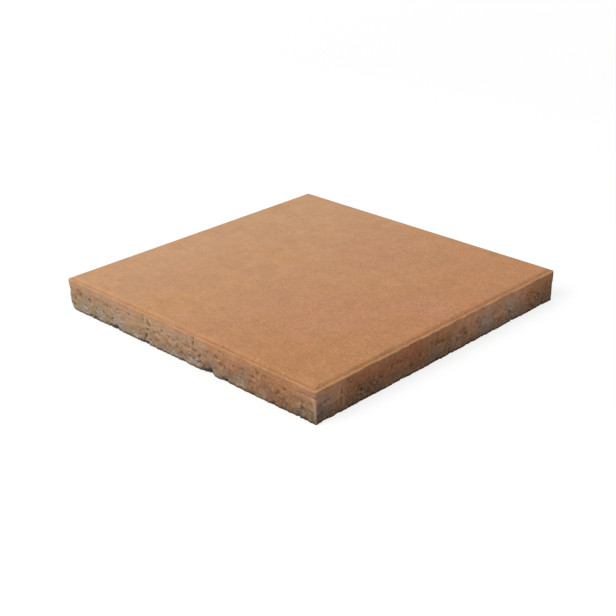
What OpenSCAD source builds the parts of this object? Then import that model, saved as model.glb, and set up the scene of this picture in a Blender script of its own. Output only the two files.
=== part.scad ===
// Square paving slab, pressed in one piece from pigmented concrete.
// It lies flat on its bed: the underside is on z = 0, with its centre at the origin.

/* [Slab] */
// Length of each side, across the upright faces
slab_side = 400; // [200:10:600]
// Thickness, from the bed up to the walking face
slab_thickness = 40; // [30:1:80]
// Radius that the mould leaves on the four upright corners
corner_radius = 3; // [0.5:0.5:8]

/* [Pressed top edge] */
// Width of the slope that steps down all round the walking face
slope_width = 2.4; // [1:0.2:6]
// Depth of that slope below the walking face
slope_depth = 2.4; // [1:0.2:6]
// Width of the ledge between the foot of the slope and the upright side
ledge_width = 3; // [1:0.2:8]
// Fall of the ledge towards the side
ledge_fall = 0.5; // [0.1:0.1:2]

/* [Broken corner] */
// Length knocked off along each of the two lower edges that meet there
break_length = 9.5; // [1:0.5:15]
// Height knocked off up the upright corner
break_height = 12; // [1:0.5:15]

/* [Hidden] */

half_side = slab_side / 2;
// How far a cutting shape reaches past the faces that it cuts
cut_over = 5;
// Smoothness of the upright corners
corner_steps = 48;

// Square with rounded corners, centred on the origin
module rounded_square(side, radius) {
    straight = side - 2 * radius;
    square([side, straight], center = true);
    square([straight, side], center = true);
    for (x = [-1, 1], y = [-1, 1])
        translate([x, y] * straight / 2) circle(radius, $fn = corner_steps);
}

// Bar along Y with the flat shape given as its section, drawn across X and up Z
module bar_along_y(length) {
    rotate([90, 0, 0])
        linear_extrude(length, center = true) children();
}

// Cut for the slope and the ledge along the top edge of the +X face.
// Its section is drawn from that edge: x goes in from the side, z goes down from the top.
module top_edge_cut() {
    translate([half_side, 0, slab_thickness])
        rotate([0, 180, 0])
            bar_along_y(slab_side + 2 * cut_over)
                polygon([
                    [-cut_over, -cut_over],
                    [ledge_width + slope_width * (1 + cut_over / slope_depth), -cut_over],
                    [ledge_width, slope_depth],
                    [-cut_over, slope_depth + ledge_fall * (1 + cut_over / ledge_width)]
                ]);
}

// Cut for the break across the lower corner at -X, -Y, square to the slab's diagonal.
// Its section is drawn from that corner: x goes in along the diagonal, z goes up.
module corner_break_cut() {
    run = break_length / sqrt(2);
    translate([-half_side, -half_side, 0])
        rotate(45)
            bar_along_y(2 * (break_length + cut_over))
                polygon([
                    [-cut_over, -cut_over],
                    [run * (1 + cut_over / break_height), -cut_over],
                    [-cut_over, break_height * (1 + cut_over / run)]
                ]);
}

module slab() {
    color("#be8f6b")
        difference() {
            linear_extrude(slab_thickness) rounded_square(slab_side, corner_radius);
            for (turn = [0 : 90 : 270])
                rotate(turn) top_edge_cut();
            corner_break_cut();
        }
}

slab();
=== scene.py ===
import math

import bpy
import numpy as np
from mathutils import Matrix, Vector, noise


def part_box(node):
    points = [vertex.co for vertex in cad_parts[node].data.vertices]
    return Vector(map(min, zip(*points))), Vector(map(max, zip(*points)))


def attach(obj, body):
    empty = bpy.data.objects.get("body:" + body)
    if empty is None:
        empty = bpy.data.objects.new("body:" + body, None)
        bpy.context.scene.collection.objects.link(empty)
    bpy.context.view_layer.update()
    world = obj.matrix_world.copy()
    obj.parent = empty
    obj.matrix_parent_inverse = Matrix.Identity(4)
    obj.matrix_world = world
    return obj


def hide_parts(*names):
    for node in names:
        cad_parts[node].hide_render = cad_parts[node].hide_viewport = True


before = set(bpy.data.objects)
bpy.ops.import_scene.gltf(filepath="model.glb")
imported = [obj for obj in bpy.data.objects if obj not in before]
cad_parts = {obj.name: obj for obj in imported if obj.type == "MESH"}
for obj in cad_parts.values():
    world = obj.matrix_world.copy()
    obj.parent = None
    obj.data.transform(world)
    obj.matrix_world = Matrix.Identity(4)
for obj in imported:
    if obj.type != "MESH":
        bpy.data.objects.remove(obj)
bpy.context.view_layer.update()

mm = 0.001
scene = bpy.context.scene
scene.view_settings.view_transform = "Standard"
print("frame loaded:", sorted(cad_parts))

lowest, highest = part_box("slab")
sideLength = (highest.x - lowest.x) / mm
halfSide = sideLength / 2
thickness = (highest.z - lowest.z) / mm
sideNames = ["front", "right", "back", "left"]  # anticlockwise from the corner at -X, -Y

# The slab, in mm: its section, which is the CAD one, its mesh, and the surface that the mould,
# the stripping and the handling left. Most pairs are where something starts and where it is full.
pavingSlab = {
    # Section
    "cornerRadius": 3.0,
    "slopeWidth": 2.4,
    "slopeDepth": 2.4,
    "ledgeWidth": 3.0,
    "ledgeFall": 0.5,
    "breakLength": 9.5,  # of the lower corner that is knocked off
    "breakHeight": 12.0,
    "softening": (1.9, 0.7, 0.6, 0.8),  # of the section's four edges, from the top down
    "innerRadius": 1.2,  # corner radius of the outlines inside the slope

    # Mesh: fine on the edges and sides, coarse in the middle of the top and the underside
    "sideColumns": 352,  # about 1.1 mm each
    "cornerColumns": 8,
    "edgeRows": 2,
    "sideRows": 34,
    "underRows": 4,
    "topRim": 10.0,  # inset where the fine mesh ends
    "topJoin": 3.0,  # from there in to the coarse mesh
    "topCell": 4,  # fine columns for each coarse cell
    "underRim": 9.0,
    "underJoin": 6.0,
    "underCell": 8,
    "underStep": 0.15,  # least step in from the foot of the side
    "dipFade": 30.0,  # from the border of a coarse face to its full dip

    # Dense facing mix, and the line along its lower edge, which is clear only near the front corner
    "facingDepth": 11.5,
    "facingBlend": 9.0,
    "facingStep": 0.25,  # how far the facing stands proud
    "stepRun": (-0.4, 0.6),
    "facingGroove": {"depth": 0.7, "half": 0.9, "drop": 0.6, "faint": 0.1, "clear": (12.0, 50.0)},

    # Open backing mix under it
    "openness": {"front": 1.0, "right": 0.8, "back": 0.8, "left": 0.9},
    "openLeast": 0.15,
    "lumpInFacing": 0.25,  # shares of the relief that the facing has too
    "gritInFacing": 0.3,
    "gritInGrey": 0.6,  # how much rougher the grey patches are
    "grooveDepth": 0.6,  # of the winding grooves between the lumps
    "grooveHalf": 0.12,
    "voidDepth": 1.7,
    "voidRun": (0.2, 0.7),

    # Drag marks, long up the side, as it slid out of the mould
    "dragDepth": 1.6,
    "dragDrop": (5.0, 9.0, 17.0, 27.0),  # below the top, where they start, are full, fade and end
    "dragFaint": 0.35,  # share that they have away from the clear marks
    "dragFade": 0.6,  # share of a clear mark's half length

    # Blow holes, with the least and the most of their measures
    "seed": 7,
    "pitCount": 420,
    "pitRadius": (0.7, 2.0),
    "pitBias": 2.5,  # above 1 makes more of them small
    "pitMargin": (1.5, 5.0),  # kept free at the foot and at the top
    "pitStretch": (0.7, 1.6),
    "pitBowl": (0.4, 0.9),  # depth for each mm of radius
    "pitsInFacing": 0.2,  # share of them that the facing keeps

    # Pressed edge: how soft the ledge and the slope end, the pale outer arris with wear and a painted
    # highlight, dirt and painted shade in the crease
    "ledgeEnd": (-0.5, 0.4),
    "slopeEnd": (-0.4, 0.4),
    "ledgeDrop": 1.2,
    "arrisBand": (-2.2, -1.0),
    "arrisInset": (0.4, 1.4),
    "arrisPaleAndHighlight": {"front": 0.5, "right": 1.0, "back": 0.6, "left": 0.6},
    "arrisWear": 0.36,
    "arrisLeast": 0.2,  # share of that wear which is everywhere
    "creaseHalf": 0.75,
    "creaseMean": 0.7,
    "creaseDirtAndShade": {"front": 0.5, "right": 0.15, "back": 0.3, "left": 0.3},

    # Upright corners, where the relief is weaker; the wear is given for the start of each side
    "cornerRelief": 0.4,
    "cornerDense": (1.0, 9.0),
    "cornerWear": {"front": 1.9, "right": 1.3, "back": 0.2, "left": 0.8},
    "cornerWidth": 5.5,
    "wearDrop": 30.0,  # below the top, where the wear is full
    "wearShown": 1.2,  # depth of wear that looks fully worn

    # Chip on the corner between front and right, beside a pale ridge that leans over the front
    "frontChip": {
        "reach": 20.0,
        "high": 28.0,
        "depth": 2.4,
        "lean": 5.5,
        "ridge": 2.8,  # half width
        "ridgeDepth": 0.4,  # share of the chip's depth
        "below": (-0.3, 1.5),  # the lower edge of the facing
        "beside": (-1.5, 2.0),  # the ridge
        "corner": (-1.0, 4.0),
        "clean": (2.0, 15.0),  # above the foot
        "dirty": 0.3,  # share of the pale ridge that shows at the foot
    },

    # Hollows and ridges that the concrete is tinted by: dirt and painted shade in the hollows and drag marks,
    # wear and a painted highlight on the ridges
    "cavityReach": 4,  # cells of the mesh
    "hollowDepth": (0.1, 1.3),
    "hollowInDrag": 0.75,
    "raisedHeight": (0.1, 0.8),

    # Foot of the sides: crumbled edge, colour darker towards it, and a painted shadow line along it
    "crumbHeight": 0.4,
    "crumbLeast": 0.15,
    "raggedFoot": {"front": 0.8, "right": 0.12, "back": 0.6, "left": 0.7},
    "footShade": {"front": 0.3, "right": 0.9, "back": 0.8, "left": 0.8},
    "footReach": {"front": 13.0, "right": 28.0, "back": 20.0, "left": 16.0},
    "footShadowLine": {"front": 0.65, "right": 1.0, "back": 0.8, "left": 0.7},
    "footInset": (2.0, 8.0),  # on the underside, where the dirt fades
    "lineRise": (1.1, 2.6),
    "lineUneven": 0.2,
    "chipOverhangShadow": {"rise": 0.6, "darker": 0.5, "loss": (1.0, 3.0)},  # the painted shadow line is higher and darker there, under the overhang
    "brokenLoss": 1.2,  # loss at which a broken face gets its full painted shade
    "brokenCornerShade": {"share": 0.6, "over": 0.15},  # strength of the painted shade on the knocked-off corner, and share of the break where it is full

    # Soft edges of the stained patches
    "stainRun": (-0.2, 0.9),
    "stainFray": 0.7,
    "stainFade": 14.0,
    "stainUnder": 10.0,  # how far a patch runs on below its lower edge

    # Noise for relief: depth, size of its features, number of its field
    "relief": {
        "sway": (0.3, 70.0, 2),
        "lump": (1.2, 7.0, 3),
        "grit": (0.9, 2.8, 4),
        "edgeGrain": (0.19, 5.0, 9),
        "topDip": (0.25, 70.0, 13),
        "underDip": (0.6, 70.0, 14),
    },
    # Noise to both sides of 0: strength, size, number
    "wander": {
        "backing": (6.0, 30.0, 1),
        "void": (1.0, 4.0, 5),
        "voidDrift": (0.4, 16.0, 6),
        "arrisWear": (1.6, 4.0, 10),
        "fracture": (0.3, 2.8, 11),
        "breakFace": (0.08, 2.2, 12),
        "cornerFray": (2.5, 6.0, 15),
        "groove": (1.0, 9.0, 16),
        "facingEdge": (1.6, 35.0, 17),
        "facingJog": (0.7, 8.0, 18),
        "pitAlong": (0.9, 2.6, 21),
        "pitUp": (0.9, 2.6, 22),
        "ridge": (1.2, 5.0, 24),
        "stain": (1.0, 14.0, 25),
        "stainFine": (0.7, 4.0, 26),
        "crease": (0.6, 25.0, 27),
        "dragEnds": (4.0, 7.0, 28),
        "crumbs": (1.1, 6.0, 31),
        "fineCrumbs": (1.1, 2.3, 32),
        "chipFace": (0.7, 2.4, 33),
        "foot": (4.0, 20.0, 34),
        "footFine": (2.0, 5.0, 35),
    },
    # Noise in patches from 0 to 1: start and full, size, number; some are long up the side
    "patches": {
        "streaks": (-0.05, 0.4, (2.2, 2.2, 16.0), 7),
        "faintDrag": (0.2, 0.5, 45.0, 8),
        "opened": (-0.25, 0.25, (24.0, 24.0, 60.0), 19),
        "grooveSeen": (0.0, 0.4, 50.0, 20),
        "arris": (-0.5, 0.3, 12.0, 23),
        "streakGaps": (-0.5, 0.2, 4.5, 29),
    },
}
edgeWidth = pavingSlab["slopeWidth"] + pavingSlab["ledgeWidth"]
arrisHeight = thickness - pavingSlab["slopeDepth"] - pavingSlab["ledgeFall"]

# Pieces lost from the lower edge: side, deepest place from its start, run before it and after it, height
footChips = [
    ("front", 49, 3, 3, 3.4),
    ("front", 90, 16, 5, 4.5),
    ("front", 139, 14, 5, 3.4),
    ("front", 249, 24, 3, 5.4),
    ("front", 271, 12, 3, 4.0),
    ("front", 340, 9, 3, 2.2),
    ("front", 381, 5, 3, 1.8),
    ("right", 186, 8, 6, 0.9),
    ("right", 205, 6, 5, 1.0),
    ("right", 384, 8, 6, 1.4),
    ("back", 64, 12, 7, 2.6),
    ("back", 210, 20, 9, 3.4),
    ("back", 330, 6, 9, 2.0),
    ("left", 90, 14, 9, 2.4),
    ("left", 265, 5, 14, 3.6),
]

# Larger blow holes: side, place from its start, depth below the top, radius
largePits = [
    ("front", 34, 18, 1.7),
    ("front", 40, 19, 2.0),
    ("front", 65, 26, 2.1),
    ("front", 93, 14, 1.9),
    ("front", 113, 14, 1.9),
    ("front", 147, 16, 2.3),
    ("front", 159, 30, 1.8),
    ("front", 170, 15, 2.1),
    ("front", 182, 29, 2.0),
    ("front", 196, 17, 1.9),
    ("front", 221, 21, 2.2),
    ("front", 256, 17, 2.6),
    ("front", 262, 23, 2.4),
    ("front", 268, 24, 2.1),
    ("front", 282, 17, 1.8),
    ("front", 346, 23, 1.8),
    ("front", 356, 16, 2.4),
    ("right", 68, 27, 2.3),
    ("right", 99, 25, 1.9),
    ("right", 189, 19, 2.1),
    ("right", 220, 29, 2.0),
    ("right", 235, 25, 2.5),
    ("right", 369, 24, 2.4),
    ("back", 80, 21, 2.2),
    ("back", 258, 17, 1.9),
    ("left", 140, 24, 2.2),
    ("left", 322, 19, 2.0),
]

# Places with clear drag marks: side, place from its start, length
dragMarks = [
    ("front", 22, 16),
    ("front", 143, 22),
    ("front", 221, 16),
    ("front", 264, 16),
    ("front", 323, 32),
    ("right", 42, 20),
    ("right", 182, 16),
    ("right", 388, 14),
    ("back", 130, 14),
    ("left", 76, 12),
]

# Stained patches of the sides, and one of painted shade: tint, side, place from its start, length, lowest and
# highest edge
sideStains = [
    ("olive", "front", 25, 120, 0, 24),
    ("ash", "front", 140, 260, 20, 40),
    ("grey", "front", 130, 280, 0, 13),
    ("lime", "front", 45, 130, 0, 11),
    ("lime", "front", 165, 300, 0, 10),
    ("brown", "front", 285, 190, 0, 21),
    ("umber", "front", 385, 90, 0, 17),
    ("grey", "front", 385, 60, 0, 12),
    ("olive", "front", 386, 60, 0, 27),
    ("olive", "front", 301, 14, 21, 33),
    ("olive", "front", 283, 30, 0, 12),
    ("grey", "right", 13, 34, 0, 33),
    ("pale", "right", 24, 44, 16, 40),
    ("rust", "right", 115, 160, 0, 40),
    ("umber", "right", 74, 56, 0, 23),
    ("olive", "right", 71, 16, 2, 16),
    ("olive", "right", 131, 12, 4, 15),
    # painted shade down the rounded corner at the end of the right side
    ("umber", "right", 398, 12, 0, 40),
    ("grey", "right", 180, 18, 0, 18),
    ("pale", "right", 285, 170, 8, 40),
    ("grey", "right", 272, 34, 0, 26),
    ("lime", "right", 272, 22, 21, 33),
    ("olive", "right", 325, 24, 4, 22),
    ("grey", "right", 326, 36, 0, 17),
    ("lime", "right", 320, 28, 22, 31),
    ("rust", "right", 353, 18, 12, 36),
    ("brown", "right", 372, 36, 0, 20),
    ("grey", "back", 120, 44, 0, 20),
    ("brown", "back", 230, 90, 0, 24),
    ("olive", "back", 320, 60, 0, 28),
    ("ash", "back", 90, 180, 14, 40),
    ("olive", "left", 60, 80, 0, 22),
    ("rust", "left", 170, 120, 0, 40),
    ("grey", "left", 262, 40, 0, 26),
]


def smoothStep(low, high, value):
    share = np.clip((value - low) / (high - low), 0, 1)
    return share * share * (3 - 2 * share)


def fromLeast(least, share):
    # Runs from the least value up to 1 as the share goes from 0 to 1
    return least + (1 - least) * share


def fieldNoise(points, size, number):
    # Perlin noise from -1 to 1 at each point, with features of the given size
    apart = 17.3  # keeps one field from looking like the next
    scaled = points.reshape(-1, 3) / np.asarray(size) + number * apart
    return np.array([noise.noise(Vector(p)) for p in scaled]).reshape(points.shape[:-1])


def reliefNoise(points, name):
    depth, size, number = pavingSlab["relief"][name]
    return depth * (0.5 + 0.5 * fieldNoise(points, size, number))


def wanderNoise(points, name):
    strength, size, number = pavingSlab["wander"][name]
    return strength * fieldNoise(points, size, number)


def patchNoise(points, name):
    start, full, size, number = pavingSlab["patches"][name]
    return smoothStep(start, full, fieldNoise(points, size, number))


def sidePlace(side, place):
    # Distance round the slab of a place on one side
    return sideNames.index(side) * sideLength + place


def sideValues(name, position):
    # Values of the sides, or of the corners where they start; position counts them round the slab
    values = pavingSlab[name]
    return np.array([values[side] for side in sideNames])[position.astype(int) % 4]


def outlineRing(inset):
    # One closed outline of the slab, anticlockwise from the corner at -X, -Y
    radius = max(pavingSlab["cornerRadius"] - inset, pavingSlab["innerRadius"])
    straight = halfSide - inset - radius
    turn = np.linspace(math.pi / 4, 0, pavingSlab["cornerColumns"] // 2 + 1)
    run = np.linspace(-straight, straight, pavingSlab["sideColumns"] + 1)
    lean = np.concatenate([-turn[:-1], np.zeros(run.size), turn[-2:0:-1]])
    along = np.concatenate([np.full(turn.size - 1, -straight), run, np.full(turn.size - 2, straight)])
    along = along + radius * np.sin(lean)
    out = straight + radius * np.cos(lean)
    points, normals = [], []
    for side in range(4):
        angle = side * math.pi / 2
        forward = np.array([math.cos(angle), math.sin(angle)])
        outward = np.array([math.sin(angle), -math.cos(angle)])
        points.append(along[:, None] * forward + out[:, None] * outward)
        normals.append(np.sin(lean)[:, None] * forward + np.cos(lean)[:, None] * outward)
    return np.concatenate(points), np.concatenate(normals)


def sectionRows():
    # Inset and height of each row, from the flat of the top over the edge to the underside
    corners = np.array([
        (pavingSlab["topRim"], thickness),
        (edgeWidth, thickness),
        (pavingSlab["ledgeWidth"], thickness - pavingSlab["slopeDepth"]),
        (0, arrisHeight),
        (0, 0),
        (pavingSlab["underRim"], 0),
    ])
    edgeRows = pavingSlab["edgeRows"]
    steps = [edgeRows, edgeRows, edgeRows, pavingSlab["sideRows"], pavingSlab["underRows"]]
    softening = (0, *pavingSlab["softening"], 0)
    rows = []
    for leg, count in enumerate(steps):
        start, end = corners[leg], corners[leg + 1]
        forward = (end - start) / np.linalg.norm(end - start)
        first = start + softening[leg] * forward
        last = end - softening[leg + 1] * forward
        if leg:
            rows.append(0.25 * rows[-1] + 0.5 * start + 0.25 * first)  # middle of the softened edge
        rows.extend(np.linspace(first, last, count + 1))
    rows = np.array(rows)
    tangent = np.gradient(rows, axis=0)
    tangent /= np.linalg.norm(tangent, axis=1)[:, None]
    return rows, -tangent[:, 1], -tangent[:, 0]  # rows, outward and upward parts of the normal


def makeGrid():
    # Points of the sides and edges: rows follow the section, columns go round the slab
    rows, outward, upward = sectionRows()
    rings = [outlineRing(inset) for inset, height in rows]
    flat = np.stack([ring[0] for ring in rings])
    rowCount, columnCount = flat.shape[:2]
    along = np.arange(columnCount) * 4 * sideLength / columnCount
    grid = {
        "normal": np.stack([ring[1] for ring in rings]),
        "inset": np.repeat(rows[:, :1], columnCount, axis=1),
        "height": np.repeat(rows[:, 1:], columnCount, axis=1),
        "outward": np.repeat(outward[:, None], columnCount, axis=1),
        "upward": np.repeat(upward[:, None], columnCount, axis=1),
        "along": np.tile(along, (rowCount, 1)),  # distance round the slab
    }
    grid["points"] = np.concatenate([flat, grid["height"][..., None]], axis=-1)
    grid["side"] = grid["along"] // sideLength
    grid["onSide"] = smoothStep(0.5, 1.0, grid["outward"])  # 1 where the surface is upright
    grid["upper"] = grid["height"] > thickness / 2
    return grid


def moveIn(grid, inward, lift):
    grid["points"][..., :2] -= inward[..., None] * grid["normal"]
    grid["points"][..., 2] += lift
    grid["inset"] = grid["inset"] + inward
    grid["height"] = grid["height"] + lift


def smoothed(values, reach):
    # Mean over a square patch of the grid, whose columns go round the slab
    span = 2 * reach + 1
    values = sum(np.roll(values, step, axis=1) for step in range(-reach, reach + 1)) / span
    rows = np.pad(values, ((reach, reach), (0, 0)), mode="edge")
    return sum(rows[step:step + len(values)] for step in range(span)) / span


def stainShares(grid):
    # Shares from 0 to 1 of each tint, with soft and frayed edges
    height = grid["height"]
    fray = wanderNoise(grid["points"], "stain") + wanderNoise(grid["points"], "stainFine")
    shares = {}
    for tint, side, place, length, low, high in sideStains:
        # Both are 0 at the ends of the patch
        sideways = 1.5 - abs(grid["along"] - sidePlace(side, place)) / (length / 3)
        upward = np.minimum(high - height, height - low + pavingSlab["stainUnder"]) / pavingSlab["stainFade"]
        inside = np.minimum(sideways, upward) + pavingSlab["stainFray"] * fray
        share = grid["onSide"] * smoothStep(*pavingSlab["stainRun"], inside)
        shares[tint] = np.maximum(shares.get(tint, 0), share)
    return shares


def pitField(grid):
    # Depth of the separate blow holes, most of them in the open backing mix
    random = np.random.default_rng(pavingSlab["seed"])
    smallest, largest = pavingSlab["pitRadius"]
    aboveFoot, belowTop = pavingSlab["pitMargin"]
    shallow, deep = pavingSlab["pitBowl"]
    pits = [(sidePlace(side, place), thickness - drop, radius, 1.0, deep * radius)
            for side, place, drop, radius in largePits]
    for _ in range(pavingSlab["pitCount"]):
        place = random.uniform(0, 4 * sideLength)
        level = random.uniform(aboveFoot, thickness - belowTop)
        radius = smallest + (largest - smallest) * random.random() ** pavingSlab["pitBias"]
        stretch = random.uniform(*pavingSlab["pitStretch"])
        bowl = radius * random.uniform(shallow, deep)
        inFacing = level > thickness - pavingSlab["facingDepth"]
        if random.random() < (pavingSlab["pitsInFacing"] if inFacing else 1.0):
            pits.append((place, level, radius, stretch, bowl))
    along = grid["along"] + wanderNoise(grid["points"], "pitAlong")
    height = grid["height"] + wanderNoise(grid["points"], "pitUp")
    depth = np.zeros_like(along)
    for place, level, radius, stretch, bowl in pits:
        reach = ((along - place) / (radius * stretch)) ** 2 + ((height - level) / radius) ** 2
        depth = np.maximum(depth, bowl * np.clip(1 - reach, 0, 1) ** 0.6)  # steep wall, rounded floor
    return depth


def dragStreaks(grid):
    # 0 to 1 in the streaks where the side dragged on the mould
    points = grid["points"]
    share = pavingSlab["dragFaint"] * patchNoise(points, "faintDrag")
    for side, place, length in dragMarks:
        reach = 1 - abs(grid["along"] - sidePlace(side, place)) / (length / 2)
        share = np.maximum(share, smoothStep(0, pavingSlab["dragFade"], reach))
    startsAt, fullAt, fadesAt, endsAt = pavingSlab["dragDrop"]
    drop = thickness - grid["height"] + wanderNoise(points, "dragEnds")
    share = share * smoothStep(startsAt, fullAt, drop) * (1 - smoothStep(fadesAt, endsAt, drop))
    return patchNoise(points, "streaks") * share * patchNoise(points, "streakGaps")


def facingEdge(grid, belowFacing):
    # Slight step along the lower edge of the facing, and the line under it
    groove = pavingSlab["facingGroove"]
    fromFront = grid["along"] - sidePlace("right", 0)
    step = pavingSlab["facingStep"] * smoothStep(*pavingSlab["stepRun"], belowFacing)
    seen = groove["faint"] * patchNoise(grid["points"], "grooveSeen")
    seen = np.maximum(seen, 1 - smoothStep(*groove["clear"], abs(fromFront)))
    return step + groove["depth"] * seen * np.exp(-((belowFacing - groove["drop"]) / groove["half"]) ** 2)


def wearCorners(grid, shares, belowFacing, fromCorner):
    # Depth lost from the upright corners by wear, and by the chip on the front one
    points, along, onSide = grid["points"], grid["along"], grid["onSide"]
    drop = thickness - grid["height"]
    frayed = fromCorner + wanderNoise(points, "cornerFray")
    wear = sideValues("cornerWear", np.rint(along / sideLength))
    worn = 1 - smoothStep(0, pavingSlab["cornerWidth"], frayed)
    worn = worn * smoothStep(0, pavingSlab["wearDrop"], drop) * onSide

    chip = pavingSlab["frontChip"]
    fromFront = along - sidePlace("right", 0)
    atFront = abs(fromFront) < chip["reach"]
    rise = np.clip(grid["height"] / chip["high"], 0, 1)
    below = smoothStep(*chip["below"], belowFacing) * onSide
    offRidge = fromFront + chip["lean"] * rise + wanderNoise(points, "ridge")
    ridge = below * np.exp(-(offRidge / chip["ridge"]) ** 2)
    chipped = below * smoothStep(*chip["beside"], offRidge)
    chipped = chipped * (1 - smoothStep(*chip["corner"], fromFront)) * rise
    cleanRidge = ridge * fromLeast(chip["dirty"], smoothStep(*chip["clean"], grid["height"]))
    shares["worn"] = np.where(atFront, cleanRidge, worn * smoothStep(0, pavingSlab["wearShown"], wear))
    shares["chip"] = chipped
    return np.where(atFront, chip["depth"] * np.maximum(chipped, chip["ridgeDepth"] * ridge), wear * worn)


def roughenSides(grid, shares):
    # Depth of the relief of the sides: smooth in the facing mix, open and lumpy in the backing mix
    points, along, onSide = grid["points"], grid["along"], grid["onSide"]
    drop = thickness - grid["height"]
    intoBacking = drop - pavingSlab["facingDepth"] + wanderNoise(points, "backing")
    backing = smoothStep(0, pavingSlab["facingBlend"], intoBacking)
    opened = fromLeast(pavingSlab["openLeast"], patchNoise(points, "opened"))
    opened = opened * backing * sideValues("openness", grid["side"])
    lump = reliefNoise(points, "lump") * fromLeast(pavingSlab["lumpInFacing"], backing)
    grit = reliefNoise(points, "grit") * fromLeast(pavingSlab["gritInFacing"], backing)
    grit = grit * (1 + pavingSlab["gritInGrey"] * shares["grey"])
    winding = abs(wanderNoise(points, "groove"))
    groove = pavingSlab["grooveDepth"] * (1 - smoothStep(0, pavingSlab["grooveHalf"], winding)) * opened
    porous = wanderNoise(points, "void") + wanderNoise(points, "voidDrift")
    voids = pavingSlab["voidDepth"] * smoothStep(*pavingSlab["voidRun"], porous) * opened
    holes = np.maximum(voids, pitField(grid))
    drag = dragStreaks(grid)
    facingLine = pavingSlab["facingDepth"] + wanderNoise(points, "facingEdge")
    facingLine = facingLine + wanderNoise(points, "facingJog")
    belowFacing = drop - facingLine
    step = facingEdge(grid, belowFacing)
    depth = reliefNoise(points, "sway") + step + lump + grit + groove + holes + pavingSlab["dragDepth"] * drag

    fromCorner = np.minimum(along % sideLength, -along % sideLength)
    depth = depth * fromLeast(pavingSlab["cornerRelief"], smoothStep(*pavingSlab["cornerDense"], fromCorner))
    depth = onSide * depth
    # Dirt and painted shade in the hollows and drag marks, wear and a painted highlight on the raised places
    cavity = depth - smoothed(depth, pavingSlab["cavityReach"])
    hollowDirtAndShade = np.maximum(smoothStep(*pavingSlab["hollowDepth"], cavity), pavingSlab["hollowInDrag"] * drag)
    shares["hollowDirtAndShade"] = onSide * hollowDirtAndShade
    shares["raisedWearAndHighlight"] = onSide * smoothStep(*pavingSlab["raisedHeight"], -cavity)
    shares["side"] = onSide
    depth = depth + wearCorners(grid, shares, belowFacing, fromCorner)

    # More than this would fold the round corner over
    radius = pavingSlab["cornerRadius"]
    mostDepth = 0.5 * radius + 0.6 * np.clip(fromCorner - 0.8 * radius, 0, None)
    return np.minimum(depth, mostDepth)


def pressEdge(grid, shares):
    # Depth of the slight unevenness of the slope and the ledge
    points, inset, height, upper = (grid[name] for name in ("points", "inset", "height", "upper"))
    ledgeWidth = pavingSlab["ledgeWidth"]
    ledgeStart, ledgeFull = pavingSlab["ledgeEnd"]
    slopeStart, slopeFull = pavingSlab["slopeEnd"]
    bandStart, bandFull = pavingSlab["arrisBand"]
    pastLedge = smoothStep(ledgeWidth + ledgeStart, ledgeWidth + ledgeFull, inset)
    pastSlope = smoothStep(edgeWidth + slopeStart, edgeWidth + slopeFull, inset)
    overSide = smoothStep(arrisHeight - pavingSlab["ledgeDrop"], arrisHeight, height)
    shares["slope"] = upper * pastLedge * (1 - pastSlope)
    shares["ledge"] = upper * (1 - pastLedge) * overSide
    nearArris = smoothStep(arrisHeight + bandStart, arrisHeight + bandFull, height)
    nearArris = nearArris * (1 - smoothStep(*pavingSlab["arrisInset"], inset))
    # Pale worn arris with a painted highlight
    pale = sideValues("arrisPaleAndHighlight", grid["side"])
    shares["arris"] = upper * nearArris * pale * patchNoise(points, "arris")
    # Dirt and painted shade along the crease between the slope and the ledge
    dirty = sideValues("creaseDirtAndShade", grid["side"])
    dirty = np.clip(dirty * (pavingSlab["creaseMean"] + wanderNoise(points, "crease")), 0, 1)
    shares["crease"] = upper * dirty * np.exp(-((inset - ledgeWidth) / pavingSlab["creaseHalf"]) ** 2)
    pressed = np.clip(shares["slope"] + shares["ledge"], 0, 1)
    return pressed * reliefNoise(points, "edgeGrain")


def bevelLoss(inset, height, reachIn, reachUp):
    # Moves points beyond the line from reachIn along the face to reachUp up the side back onto it
    over = np.clip(1 - inset / reachIn - height / reachUp, 0, None)
    return 0.5 * over * reachIn, 0.5 * over * reachUp


def wearArris(grid):
    # Outer edge of the ledge, rounded a little and nicked
    wear = np.clip(1 + wanderNoise(grid["points"], "arrisWear"), pavingSlab["arrisLeast"], None)
    wear = pavingSlab["arrisWear"] * wear
    belowLedge = np.clip(arrisHeight + pavingSlab["ledgeFall"] - grid["height"], 0, None)
    wornIn, wornDown = bevelLoss(grid["inset"], belowLedge, wear, wear)
    onArris = grid["upper"] & (grid["inset"] < pavingSlab["ledgeWidth"])
    moveIn(grid, np.where(onArris, wornIn, 0), np.where(onArris, -wornDown, 0))


def settleUnder(grid):
    # The underside starts behind the foot of the side, so that a hollow leaves no thin lip under it
    inset = grid["inset"]
    settled = inset.copy()
    step = pavingSlab["underStep"]
    first = -pavingSlab["underRows"] - 1
    settled[first - 1] = np.maximum(inset[first - 1], inset[first - 2] + step)
    start = np.maximum(inset[first], settled[first - 1] + step)
    share = np.linspace(0, 1, pavingSlab["underRows"] + 1)[:, None]
    settled[first:] = start + share * (pavingSlab["underRim"] - start)
    moveIn(grid, settled - inset, 0)


def footLoss(along, points):
    # Height lost from the lower edge at each column
    crumbs = pavingSlab["crumbHeight"] + wanderNoise(points, "crumbs") + wanderNoise(points, "fineCrumbs")
    loss = sideValues("raggedFoot", along // sideLength) * np.clip(crumbs, pavingSlab["crumbLeast"], None)
    rough = 1 + wanderNoise(points, "chipFace")
    for side, place, before, after, height in footChips:
        away = along - sidePlace(side, place)
        reach = np.clip(1 - np.where(away < 0, -away / before, away / after), 0, 1)
        loss = np.maximum(loss, height * reach ** 0.7 * rough)
    return loss


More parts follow.
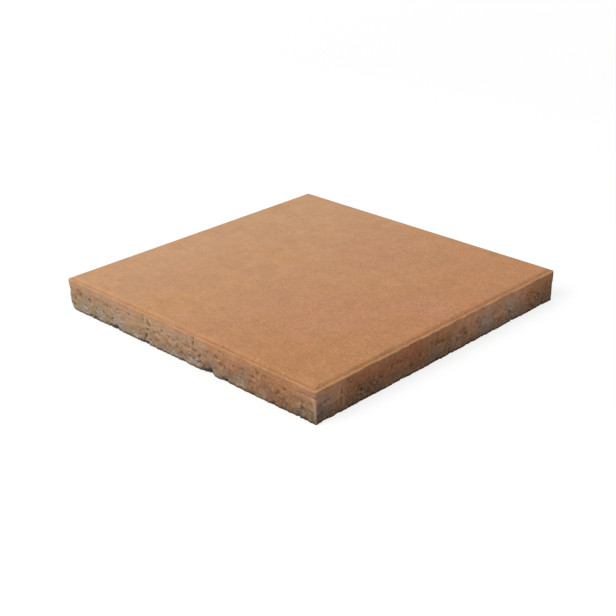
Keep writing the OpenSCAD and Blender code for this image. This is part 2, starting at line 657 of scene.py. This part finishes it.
def crumbleFoot(grid, shares):
    # Crumbled lower edge, the colour darker towards it, and the painted shadow line along it
    along, points, upper = grid["along"], grid["points"], grid["upper"]
    footRow = -pavingSlab["underRows"] - 2  # middle of the softened lower edge
    loss = np.tile(footLoss(along[0], points[footRow]), (len(along), 1))
    aboveFoot = grid["height"] - loss
    uneven = wanderNoise(points, "foot") + wanderNoise(points, "footFine")
    shade, reach, line = (sideValues(name, grid["side"]) for name in ("footShade", "footReach", "footShadowLine"))
    nearSide = 1 - smoothStep(*pavingSlab["footInset"], grid["inset"])
    # Colour darker towards the foot of the sides, most on the right
    shares["foot"] = nearSide * shade * (1 - smoothStep(0, 1, (aboveFoot + uneven) / reach))
    inChip = pavingSlab["chipOverhangShadow"]
    line = np.minimum(line * (1 + inChip["darker"] * smoothStep(*inChip["loss"], loss)), 1)
    lineLow, lineHigh = pavingSlab["lineRise"]
    lineTop = lineHigh + inChip["rise"] * loss
    overLine = smoothStep(lineLow, lineTop, aboveFoot + pavingSlab["lineUneven"] * uneven)
    # Painted shadow along the foot, higher and darker where a chip leaves an overhang
    shares["line"] = nearSide * line * (1 - overLine)
    lostIn, lostUp = bevelLoss(grid["inset"], np.clip(grid["height"], 0, None), loss, loss)
    fracture = np.where(upper, 0, 1 + wanderNoise(points, "fracture"))
    # Painted shade on the broken faces of the foot
    shares["brokenPaintedShade"] = np.where(upper, 0, smoothStep(0, pavingSlab["brokenLoss"], lostIn + lostUp))
    moveIn(grid, lostIn * fracture, lostUp * fracture)


def breakCorner(grid, shares):
    # Lower corner that is knocked off, with a slightly rough face in painted shade
    points = grid["points"]
    look = pavingSlab["brokenCornerShade"]
    steep = 1 / np.array([pavingSlab["breakLength"], pavingSlab["breakLength"], pavingSlab["breakHeight"]])
    reach = (points - np.array([-halfSide, -halfSide, 0])) @ steep
    over = np.clip(1 + wanderNoise(points, "breakFace") - reach, 0, None)
    points += (over / (steep @ steep))[..., None] * steep
    shares["brokenPaintedShade"] = np.maximum(shares["brokenPaintedShade"], look["share"] * smoothStep(0, look["over"], over))


def coarseFace(half, cells, height, dipName):
    # Square grid of points with a gentle dip, and its border in the order of the outline
    line = np.linspace(-half, half, cells + 1)
    x, y = np.meshgrid(line, line, indexing="ij")
    points = np.stack([x, y, np.full_like(x, height)], axis=-1)
    fade = smoothStep(0, pavingSlab["dipFade"], half - np.maximum(abs(x), abs(y)))
    points[..., 2] += np.where(height > 0, -1, 1) * reliefNoise(points, dipName) * fade
    index = np.arange((cells + 1) ** 2).reshape(cells + 1, cells + 1)
    border = np.concatenate([index[:-1, 0], index[-1, :-1], index[:0:-1, -1], index[0, :0:-1]])
    quads = np.stack([index[:-1, :-1], index[1:, :-1], index[1:, 1:], index[:-1, 1:]], axis=-1)
    return points.reshape(-1, 3), quads.reshape(-1, 4), border


def stitchFaces(fineRing, coarseRing):
    # Triangles between a fine ring and the coarse ring inside it
    ratio = len(fineRing) // len(coarseRing)
    faces = []
    for cell in range(len(coarseRing)):
        near, far = coarseRing[cell], coarseRing[(cell + 1) % len(coarseRing)]
        fine = [fineRing[(cell * ratio + step) % len(fineRing)] for step in range(ratio + 1)]
        for step in range(ratio):
            inner = near if step < ratio // 2 else far
            faces.append((fine[step], fine[step + 1], inner))
        faces.append((near, fine[ratio // 2], far))
    return faces


def makeSlabMesh():
    grid = makeGrid()
    shares = stainShares(grid)
    depth = roughenSides(grid, shares) + pressEdge(grid, shares)
    moveIn(grid, depth * grid["outward"], -depth * grid["upward"])
    wearArris(grid)
    settleUnder(grid)
    crumbleFoot(grid, shares)
    breakCorner(grid, shares)
    print("slab surface:", ", ".join(sorted(shares)))

    rowCount, columnCount = grid["height"].shape
    topCells = columnCount // 4 // pavingSlab["topCell"]
    underCells = columnCount // 4 // pavingSlab["underCell"]
    topHalf = halfSide - pavingSlab["topRim"] - pavingSlab["topJoin"]
    underHalf = halfSide - pavingSlab["underRim"] - pavingSlab["underJoin"]
    topPoints, topQuads, topBorder = coarseFace(topHalf, topCells, thickness, "topDip")
    underPoints, underQuads, underBorder = coarseFace(underHalf, underCells, 0, "underDip")

    index = np.arange(rowCount * columnCount).reshape(rowCount, columnCount)
    following = np.roll(index, -1, axis=1)
    edgeQuads = np.stack([index[:-1], index[1:], following[1:], following[:-1]], axis=-1).reshape(-1, 4)
    topStart = index.size
    underStart = topStart + len(topPoints)
    underJoin = stitchFaces(index[-1].tolist(), (underBorder + underStart).tolist())
    faces = edgeQuads.tolist() + (topQuads + topStart).tolist()
    faces += (underQuads[:, ::-1] + underStart).tolist()
    faces += stitchFaces(index[0].tolist(), (topBorder + topStart).tolist())
    faces += [face[::-1] for face in underJoin]

    allPoints = np.concatenate([grid["points"].reshape(-1, 3), topPoints, underPoints])
    allPoints = np.clip(allPoints, [-halfSide, -halfSide, 0], [halfSide, halfSide, thickness])
    mesh = bpy.data.meshes.new("pavingSlab")
    mesh.from_pydata((allPoints * mm + np.array([0, 0, lowest.z])).tolist(), [], faces)
    mesh.polygons.foreach_set("use_smooth", [True] * len(mesh.polygons))
    onFaces = np.zeros(len(topPoints) + len(underPoints))
    for name, values in shares.items():
        layer = mesh.attributes.new(name, "FLOAT", "POINT")
        layer.data.foreach_set("value", np.concatenate([values.ravel(), onFaces]).astype(np.float32))
    mesh.update()
    return mesh


slab = bpy.data.objects.new("pavingSlab", makeSlabMesh())
scene.collection.objects.link(slab)
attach(slab, "root")
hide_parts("slab")
triangles = sum(len(face.vertices) - 2 for face in slab.data.polygons)
print("slab mesh:", len(slab.data.vertices), "points,", triangles, "triangles")


def hexToLinear(text):
    values = [int(text[i:i + 2], 16) / 255 for i in (1, 3, 5)]
    return [v / 12.92 if v <= 0.04045 else ((v + 0.055) / 1.055) ** 2.4 for v in values] + [1.0]


def addNode(tree, kind, inputs=None, **settings):
    # A node given as an input is linked by its first output in use.
    # A colour mix has its share at 0, the colour under it at 6 and the colour over it at 7.
    node = tree.nodes.new(kind)
    for name, value in settings.items():
        setattr(node, name, value)
    for socket, value in (inputs or {}).items():
        if isinstance(value, bpy.types.Node):
            value = next(output for output in value.outputs if output.enabled)
        if isinstance(value, bpy.types.NodeSocket):
            tree.links.new(value, node.inputs[socket])
        else:
            node.inputs[socket].default_value = value
    return node


# Pressed concrete with iron-oxide pigment: a fine facing mix over an open, duller backing mix.
# The press leaves a dense matt face with a sandy grain; the stripped sides show blow holes,
# drag marks and patches of grey cement skin. Lengths are in mm.
pressedConcrete = {
    # Pigment, paler towards -X and redder towards +X and -Y
    "facingPale": "#c79973",
    "facingRed": "#bb8259",
    "backingPale": "#b0916f",
    "backingRed": "#9b6d4c",
    "redTowards": (1.0, -0.2, 0.0),
    "redRun": (-90.0, 270.0),
    "redDrift": 160.0,
    "driftSize": 130.0,

    # Clouds in the facing, at the two ends of one noise: colour, where each starts and where it is full
    "clouds": {
        "pink": ("#c08a6c", 0.52, 0.70),
        "ochre": ("#c08d58", 0.48, 0.30),
    },
    "cloudShare": 0.45,
    "cloudSize": 85.0,
    "frontOchre": "#b58250",  # on the face, towards the corner between front and right
    "frontTowards": (1.0, -1.0, 0.0),
    "frontRun": (130.0, 400.0),
    "frontShare": 0.5,

    # Where the sides turn from facing to backing
    "backingRun": (44.0, 20.0),
    "backingDrift": 24.0,
    "wanderSize": 20.0,

    # Stains and dirt, the darkening towards the foot and the painted shadow line along it: colour and
    # strength, in the order that they are laid on
    "stains": {
        "ash": ("#c5a284", 0.75),
        "pale": ("#e0a680", 0.7),
        "rust": ("#b06540", 0.55),
        "olive": ("#9b8a6c", 0.5),
        "brown": ("#74513a", 0.4),
        "grey": ("#958880", 0.6),
        # darker towards the foot of the sides
        "foot": ("#785f4b", 0.8),
        "umber": ("#4f3827", 0.5),
        "lime": ("#c4b6a4", 0.5),
        # painted shadow along the foot of the sides
        "line": ("#241c17", 0.95),
    },

    # Blotches, darker and paler than the rest
    "blotchSize": 16.0,
    "blotchRun": (0.3, 0.7),
    "blotchTone": (0.9, 1.1),

    # Sand: colour, the random channel that picks its grains, and where in it they start to show
    "sand": {
        "pale": ("#d2ad88", "Red", 0.7),
        "dark": ("#835d40", "Green", 0.75),
    },
    "sandSize": 1.8,  # drawn about three times as coarse as the real sand, so that it shows
    "sandShare": (0.17, 0.34),  # in the pale and in the red part
    "speck": "#835d40",
    "speckSize": 8.0,  # the cells that may hold one
    "speckEdge": (0.13, 0.08),  # in shares of a cell, from the speck's middle
    "speckChosen": (0.86, 0.9),  # about one cell in eight has one
    "speckShare": 0.6,

    # Multiplied in: the slope and the ledge are a little darker, and dirt and painted shade lie along the
    # crease
    "pressed": {
        "slope": "#faf8f6",
        "ledge": "#f8f6f4",
        # dirt and painted shade along the crease
        "crease": "#c0b2a6",
    },

    # What the relief shows: colour and strength
    "marks": {
        # wear and a painted highlight on the ridges
        "raisedWearAndHighlight": ("#d9b795", 0.25),
        # dirt and painted shade in the hollows and drag marks
        "hollowDirtAndShade": ("#5c4230", 0.55),
        "chip": ("#a87346", 0.6),
        "worn": ("#cbb093", 0.75),
        # wear and a painted highlight on the arris
        "arris": ("#e6b68c", 0.65),
        # painted shade on the broken faces
        "brokenPaintedShade": ("#4a3d33", 0.85),
    },

    # Fine grain all over, grit most on the sides
    "grainSize": 1.1,
    "gritSize": 3.0,
    "gritShare": (0.5, 4.0),
    "bumpDepth": 0.25,
    "bumpStrength": 0.8,
    "roughness": 0.9,
    "roughnessSpread": 0.05,
    "specular": 0.3,
    "ior": 1.5,
}


def makeConcrete():
    finish = pressedConcrete
    material = bpy.data.materials.new("pressedConcrete")
    material.use_nodes = True
    tree = material.node_tree
    tree.nodes.clear()
    colour = {name: hexToLinear(value) for name, value in finish.items() if isinstance(value, str)}
    scale = {name: 1 / value for name, value in finish.items() if name.endswith("Size")}

    inMetres = addNode(tree, "ShaderNodeTexCoord").outputs["Object"]
    inMm = addNode(tree, "ShaderNodeMapping", {"Vector": inMetres, "Scale": (1 / mm, 1 / mm, 1 / mm)})
    shares = {}
    for layer in slab.data.attributes:
        if layer.data_type == "FLOAT":
            reader = addNode(tree, "ShaderNodeAttribute", attribute_name=layer.name)
            shares[layer.name] = reader.outputs["Fac"]

    # Pigment of the two mixes
    redFrom, redTo = finish["redRun"]
    drift = addNode(tree, "ShaderNodeTexNoise", {"Vector": inMm, "Scale": scale["driftSize"], "Detail": 3.0})
    place = addNode(tree, "ShaderNodeVectorMath", {0: inMm, 1: finish["redTowards"]}, operation="DOT_PRODUCT")
    across = addNode(tree, "ShaderNodeMath", {
        0: drift, 1: finish["redDrift"], 2: place}, operation="MULTIPLY_ADD")
    redShare = addNode(tree, "ShaderNodeMapRange", {"Value": across, "From Min": redFrom, "From Max": redTo})
    facing = addNode(tree, "ShaderNodeMix", {
        0: redShare, 6: colour["facingPale"], 7: colour["facingRed"]}, data_type="RGBA")
    backing = addNode(tree, "ShaderNodeMix", {
        0: redShare, 6: colour["backingPale"], 7: colour["backingRed"]}, data_type="RGBA")

    # Clouds of pink and of ochre in the facing, and more ochre towards the front corner
    cloud = addNode(tree, "ShaderNodeTexNoise", {"Vector": inMm, "Scale": scale["cloudSize"], "Detail": 4.0})
    for tint, start, full in finish["clouds"].values():
        share = addNode(tree, "ShaderNodeMapRange", {
            "Value": cloud, "From Min": start, "From Max": full, "To Max": finish["cloudShare"]},
            interpolation_type="SMOOTHSTEP")
        facing = addNode(tree, "ShaderNodeMix", {
            0: share, 6: facing, 7: hexToLinear(tint)}, data_type="RGBA")
    frontFrom, frontTo = finish["frontRun"]
    toFront = addNode(tree, "ShaderNodeVectorMath", {
        0: inMm, 1: finish["frontTowards"]}, operation="DOT_PRODUCT")
    share = addNode(tree, "ShaderNodeMapRange", {
        "Value": toFront, "From Min": frontFrom, "From Max": frontTo, "To Max": finish["frontShare"]},
        interpolation_type="SMOOTHSTEP")
    share = addNode(tree, "ShaderNodeMath", {
        0: share, 1: shares["side"]}, operation="SUBTRACT", use_clamp=True)
    facing = addNode(tree, "ShaderNodeMix", {0: share, 6: facing, 7: colour["frontOchre"]}, data_type="RGBA")

    # Down the sides the facing mix turns into the backing mix along a wandering line
    backingFrom, backingTo = finish["backingRun"]
    wander = addNode(tree, "ShaderNodeTexNoise", {
        "Vector": inMm, "Scale": scale["wanderSize"], "Detail": 4.0})
    height = addNode(tree, "ShaderNodeSeparateXYZ", {"Vector": inMm}).outputs["Z"]
    level = addNode(tree, "ShaderNodeMath", {
        0: wander, 1: finish["backingDrift"], 2: height}, operation="MULTIPLY_ADD")
    share = addNode(tree, "ShaderNodeMapRange", {
        "Value": level, "From Min": backingFrom, "From Max": backingTo}, interpolation_type="SMOOTHSTEP")
    concrete = addNode(tree, "ShaderNodeMix", {0: share, 6: facing, 7: backing}, data_type="RGBA")

    for name, (tint, strength) in finish["stains"].items():
        share = addNode(tree, "ShaderNodeMath", {0: shares[name], 1: strength}, operation="MULTIPLY")
        concrete = addNode(tree, "ShaderNodeMix", {
            0: share, 6: concrete, 7: hexToLinear(tint)}, data_type="RGBA")

    # Blotches, sand grains and a few dark specks
    blotchFrom, blotchTo = finish["blotchRun"]
    darkTone, paleTone = finish["blotchTone"]
    blotch = addNode(tree, "ShaderNodeTexNoise", {
        "Vector": inMm, "Scale": scale["blotchSize"], "Detail": 6.0, "Roughness": 0.65})
    tone = addNode(tree, "ShaderNodeMapRange", {
        "Value": blotch, "From Min": blotchFrom, "From Max": blotchTo,
        "To Min": darkTone, "To Max": paleTone})
    concrete = addNode(tree, "ShaderNodeVectorMath", {0: concrete, 1: tone}, operation="MULTIPLY")
    inPale, inRed = finish["sandShare"]
    sand = addNode(tree, "ShaderNodeTexVoronoi", {"Vector": inMm, "Scale": scale["sandSize"]})
    grains = addNode(tree, "ShaderNodeSeparateColor", {"Color": sand.outputs["Color"]})
    sandShare = addNode(tree, "ShaderNodeMapRange", {"Value": redShare, "To Min": inPale, "To Max": inRed})
    for tint, channel, start in finish["sand"].values():
        share = addNode(tree, "ShaderNodeMapRange", {
            "Value": grains.outputs[channel], "From Min": start, "From Max": 1.0, "To Max": sandShare})
        concrete = addNode(tree, "ShaderNodeMix", {
            0: share, 6: concrete, 7: hexToLinear(tint)}, data_type="RGBA")
    rim, core = finish["speckEdge"]
    chosenFrom, chosenTo = finish["speckChosen"]
    speck = addNode(tree, "ShaderNodeTexVoronoi", {"Vector": inMm, "Scale": scale["speckSize"]})
    speckTone = addNode(tree, "ShaderNodeSeparateColor", {"Color": speck.outputs["Color"]})
    near = addNode(tree, "ShaderNodeMapRange", {
        "Value": speck.outputs["Distance"], "From Min": rim, "From Max": core,
        "To Max": finish["speckShare"]})
    chosen = addNode(tree, "ShaderNodeMapRange", {
        "Value": speckTone.outputs["Blue"], "From Min": chosenFrom, "From Max": chosenTo})
    share = addNode(tree, "ShaderNodeMath", {0: near, 1: chosen}, operation="MULTIPLY")
    concrete = addNode(tree, "ShaderNodeMix", {
        0: share, 6: concrete, 7: colour["speck"]}, data_type="RGBA")

    # What the mesh shows: the pressed edge, then ridges, hollows, worn edges and broken places
    # The crease, the hollows and the broken places get painted shade here, the ridges and the arris a painted
    # highlight
    for name, tint in finish["pressed"].items():
        concrete = addNode(tree, "ShaderNodeMix", {
            0: shares[name], 6: concrete, 7: hexToLinear(tint)}, data_type="RGBA", blend_type="MULTIPLY")
    for name, (tint, strength) in finish["marks"].items():
        share = addNode(tree, "ShaderNodeMath", {0: shares[name], 1: strength}, operation="MULTIPLY")
        concrete = addNode(tree, "ShaderNodeMix", {
            0: share, 6: concrete, 7: hexToLinear(tint)}, data_type="RGBA")

    # Fine grain on the face, coarser on the sides
    onFace, onSides = finish["gritShare"]
    grain = addNode(tree, "ShaderNodeTexNoise", {
        "Vector": inMm, "Scale": scale["grainSize"], "Detail": 3.0, "Roughness": 0.6})
    grit = addNode(tree, "ShaderNodeTexNoise", {
        "Vector": inMm, "Scale": scale["gritSize"], "Detail": 4.0, "Roughness": 0.6})
    gritShare = addNode(tree, "ShaderNodeMapRange", {
        "Value": shares["side"], "To Min": onFace, "To Max": onSides})
    relief = addNode(tree, "ShaderNodeMath", {0: grit, 1: gritShare, 2: grain}, operation="MULTIPLY_ADD")
    bump = addNode(tree, "ShaderNodeBump", {
        "Height": relief, "Strength": finish["bumpStrength"], "Distance": finish["bumpDepth"] * mm})
    matt = addNode(tree, "ShaderNodeMapRange", {
        "Value": blotch, "From Min": blotchFrom, "From Max": blotchTo,
        "To Min": finish["roughness"] - finish["roughnessSpread"],
        "To Max": finish["roughness"] + finish["roughnessSpread"]})
    surface = addNode(tree, "ShaderNodeBsdfPrincipled", {
        "Base Color": concrete, "Roughness": matt, "Normal": bump, "IOR": finish["ior"],
        "Specular IOR Level": finish["specular"]})
    addNode(tree, "ShaderNodeOutputMaterial", {"Surface": surface})
    return material


slab.data.materials.append(makeConcrete())
print("concrete made")

# Plain studio: pale floor and backdrop, one large soft lamp, even light all round; lengths in m.
# The floor has matt white paint, without gloss, so that it shows nothing but the soft shadow.
studio = {
    "lampFrom": (-0.45, -3.55, 3.5),  # aimed at the slab
    "lampSize": 2.6,
    "lampPower": 158.0,
    "evenLight": "#c5c5c5",
    "backdrop": "#ffffff",
    "floorHalf": 12.0,
    "floorGap": 0.0002,  # keeps the floor clear of the underside
    "floorBounce": "#7c7c7c",  # what the floor sends back to the slab
    "floorLit": "#959595",  # the part of the floor's white that takes the shadow
    "floorGlow": 0.74,  # the rest of it
    "farGlow": 0.9,  # where the lamp no longer reaches
    "glowReach": (1.2, 6.0),  # from the slab
}


def seenDirectly(tree):
    # 1 where the camera, a reflection or clear material looks at the surface
    path = addNode(tree, "ShaderNodeLightPath")
    either = addNode(tree, "ShaderNodeMath", {
        0: path.outputs["Is Camera Ray"], 1: path.outputs["Is Glossy Ray"]}, operation="MAXIMUM")
    return addNode(tree, "ShaderNodeMath", {
        0: either, 1: path.outputs["Is Transmission Ray"]}, operation="MAXIMUM")


def makeFloor():
    half = studio["floorHalf"]
    corners = [(-half, -half, 0), (half, -half, 0), (half, half, 0), (-half, half, 0)]
    mesh = bpy.data.meshes.new("studioFloor")
    mesh.from_pydata(corners, [], [(0, 1, 2, 3)])
    floor = bpy.data.objects.new("studioFloor", mesh)
    floor.location.z = lowest.z - studio["floorGap"]
    scene.collection.objects.link(floor)
    paint = bpy.data.materials.new("mattWhitePaint")
    paint.use_nodes = True
    tree = paint.node_tree
    tree.nodes.clear()
    dull = addNode(tree, "ShaderNodeBsdfDiffuse", {"Color": hexToLinear(studio["floorBounce"])})
    place = addNode(tree, "ShaderNodeTexCoord").outputs["Object"]
    away = addNode(tree, "ShaderNodeVectorMath", {0: place}, operation="LENGTH").outputs["Value"]
    near, far = studio["glowReach"]
    level = addNode(tree, "ShaderNodeMapRange", {
        "Value": away, "From Min": near, "From Max": far,
        "To Min": studio["floorGlow"], "To Max": studio["farGlow"]})
    glow = addNode(tree, "ShaderNodeEmission", {"Color": hexToLinear(studio["backdrop"]), "Strength": level})
    lit = addNode(tree, "ShaderNodeBsdfDiffuse", {"Color": hexToLinear(studio["floorLit"])})
    pale = addNode(tree, "ShaderNodeAddShader", {0: glow, 1: lit})
    shown = addNode(tree, "ShaderNodeMixShader", {0: seenDirectly(tree), 1: dull, 2: pale})
    addNode(tree, "ShaderNodeOutputMaterial", {"Surface": shown})
    mesh.materials.append(paint)


def makeLight():
    world = bpy.data.worlds.new("studioWorld")
    world.use_nodes = True
    tree = world.node_tree
    tree.nodes.clear()
    tint = addNode(tree, "ShaderNodeMix", {
        0: seenDirectly(tree), 6: hexToLinear(studio["evenLight"]), 7: hexToLinear(studio["backdrop"])},
        data_type="RGBA")
    back = addNode(tree, "ShaderNodeBackground", {"Color": tint, "Strength": 1.0})
    addNode(tree, "ShaderNodeOutputWorld", {"Surface": back})
    scene.world = world

    lampData = bpy.data.lights.new("softLamp", "AREA")
    lampData.shape = "SQUARE"
    lampData.size = studio["lampSize"]
    lampData.energy = studio["lampPower"]
    lamp = bpy.data.objects.new("softLamp", lampData)
    lamp.location = studio["lampFrom"]
    lamp.rotation_mode = "QUATERNION"
    lamp.rotation_quaternion = (-Vector(studio["lampFrom"])).to_track_quat("-Z", "Y")
    scene.collection.objects.link(lamp)


makeFloor()
makeLight()
print("studio made")

# Camera, placed from the centre of the top face
cameraView = {
    "azimuth": 44.63,  # degrees
    "elevation": 24.82,
    "roll": -0.79,
    "distance": 1394.4,  # mm
    "aimRight": -3.7,
    "aimUp": -41.2,
    "lens": 70.35,
    "sensor": 36.0,
}


def makeCamera():
    azimuth = math.radians(cameraView["azimuth"])
    elevation = math.radians(cameraView["elevation"])
    roll = math.radians(cameraView["roll"])
    back = Vector((
        math.sin(azimuth) * math.cos(elevation),
        -math.cos(azimuth) * math.cos(elevation),
        math.sin(elevation),
    ))
    level = Vector((math.cos(azimuth), math.sin(azimuth), 0))
    upright = back.cross(level)
    right = level * math.cos(roll) + upright * math.sin(roll)
    up = upright * math.cos(roll) - level * math.sin(roll)
    data = bpy.data.cameras.new("slabCamera")
    data.lens = cameraView["lens"]
    data.sensor_width = cameraView["sensor"]
    camera = bpy.data.objects.new("slabCamera", data)
    offset = right * cameraView["aimRight"] + up * cameraView["aimUp"] + back * cameraView["distance"]
    turned = Matrix((right, up, back)).transposed().to_4x4()
    camera.matrix_world = Matrix.Translation(Vector((0, 0, highest.z)) + offset * mm) @ turned
    scene.collection.objects.link(camera)
    scene.camera = camera


makeCamera()
print("camera made")
